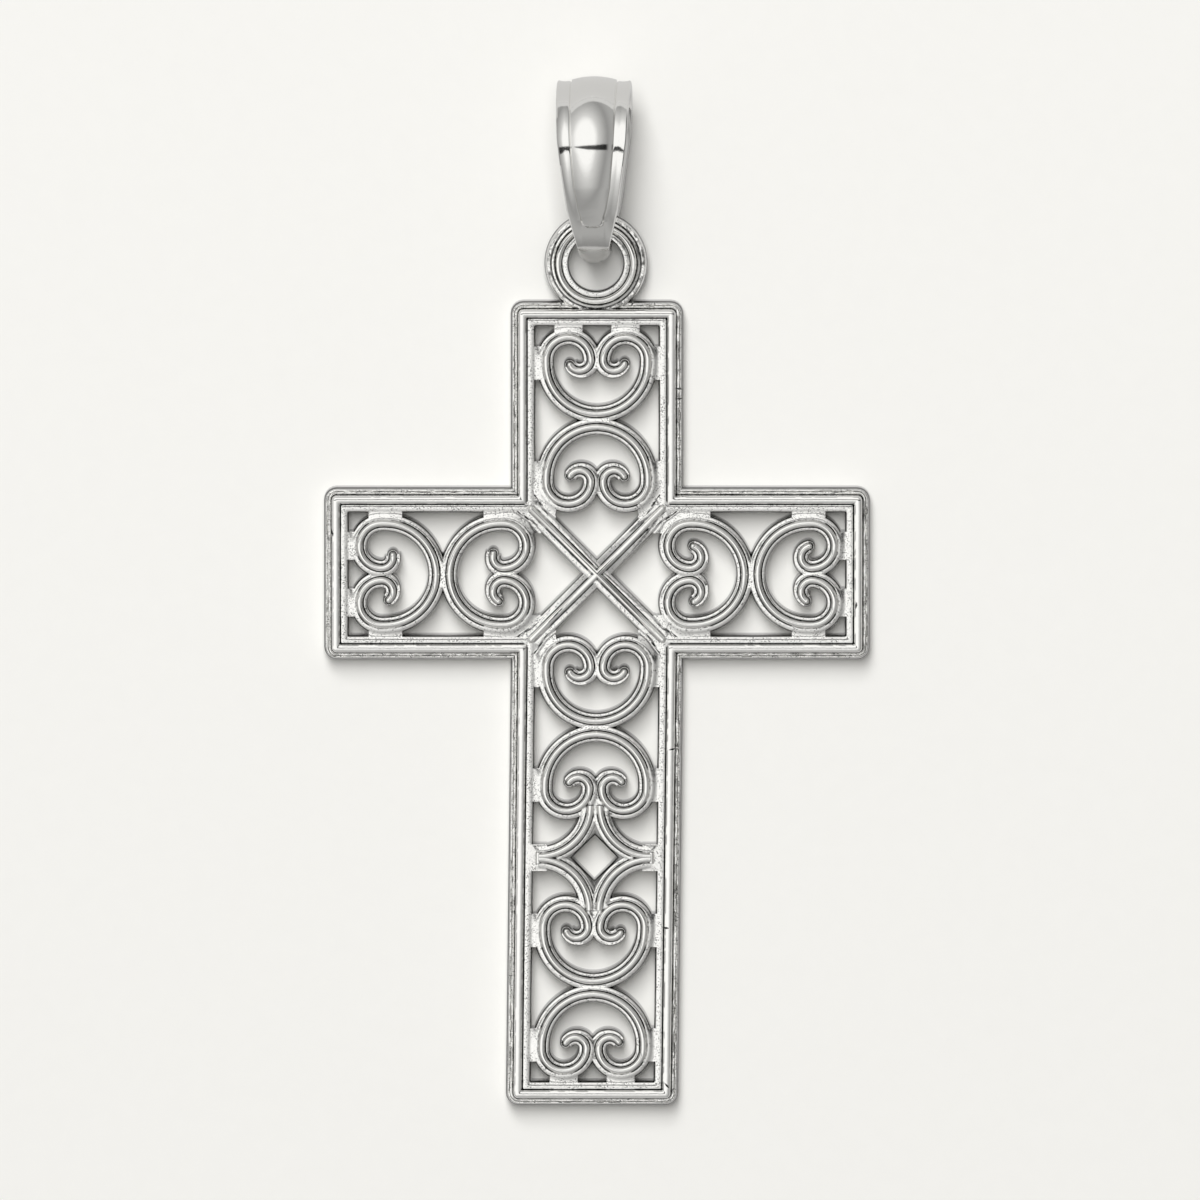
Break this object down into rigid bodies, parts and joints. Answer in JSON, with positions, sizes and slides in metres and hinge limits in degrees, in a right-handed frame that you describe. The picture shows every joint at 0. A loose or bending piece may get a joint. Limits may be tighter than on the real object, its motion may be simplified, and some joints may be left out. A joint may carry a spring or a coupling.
{
  "type": "pierced cross charm with bail",
  "caption": "Flat white-metal cross pendant with pierced scrollwork in a beaded frame, a ring cast on its top and a loose tapered bail for a neck chain.",
  "frame": {"origin": "the middle of the cross's crossing, on its flat back, which is the plane that the charm rests on", "axes": "+Y along the upright towards the ring and bail, +X along the arm on the viewer's right, +Z out of the relief front"},
  "size_m": [0.016, 0.0303, 0.0042],
  "materials": {
    "cast_metal": "bright white casting, finely speckled between its ridges",
    "polished_metal": "mirror polished"
  },
  "bodies": {
    "root": {"cross_plate": "cast_metal", "bail": "polished_metal"}
  },
  "joints": []
}
